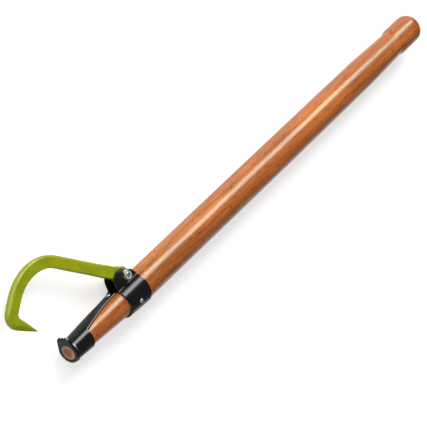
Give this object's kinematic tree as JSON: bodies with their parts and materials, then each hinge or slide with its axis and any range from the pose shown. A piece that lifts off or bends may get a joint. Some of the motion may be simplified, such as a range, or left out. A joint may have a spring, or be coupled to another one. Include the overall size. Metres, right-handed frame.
{
  "type": "cant hook",
  "caption": "Long wooden lever handle with a serrated steel toe and a forged hook that swings in a clevis collar, for gripping and rolling logs.",
  "frame": {"origin": "centre of the toe's end face, on the handle's axis", "axes": "+X up the handle to its butt, +Y to the hook's side, +Z along the pivot bolt towards its nut"},
  "size_m": [1.3164, 0.2297, 0.0686],
  "materials": {
    "wood": "clear lacquer",
    "black_steel": "gloss black paint",
    "lime_steel": "gloss lime-green paint",
    "zinc_steel": "bright zinc",
    "nylon": "natural nylon"
  },
  "bodies": {
    "tool": {"handle": "wood", "toe_sleeve": "black_steel", "toe_plate": "black_steel", "strap_screw": "zinc_steel", "collar": "black_steel", "collar_screws": "zinc_steel", "pivot_bolt": "zinc_steel", "pivot_nut": "zinc_steel", "nut_insert": "nylon"},
    "hook": {"hook": "lime_steel"}
  },
  "joints": [
    {"name": "hook_swing", "type": "hinge", "parent": "tool", "child": "hook", "pos_m": [0.193, 0.04654, 0], "axis": [0, 0, 1], "range_deg": [-138, 41]}
  ]
}
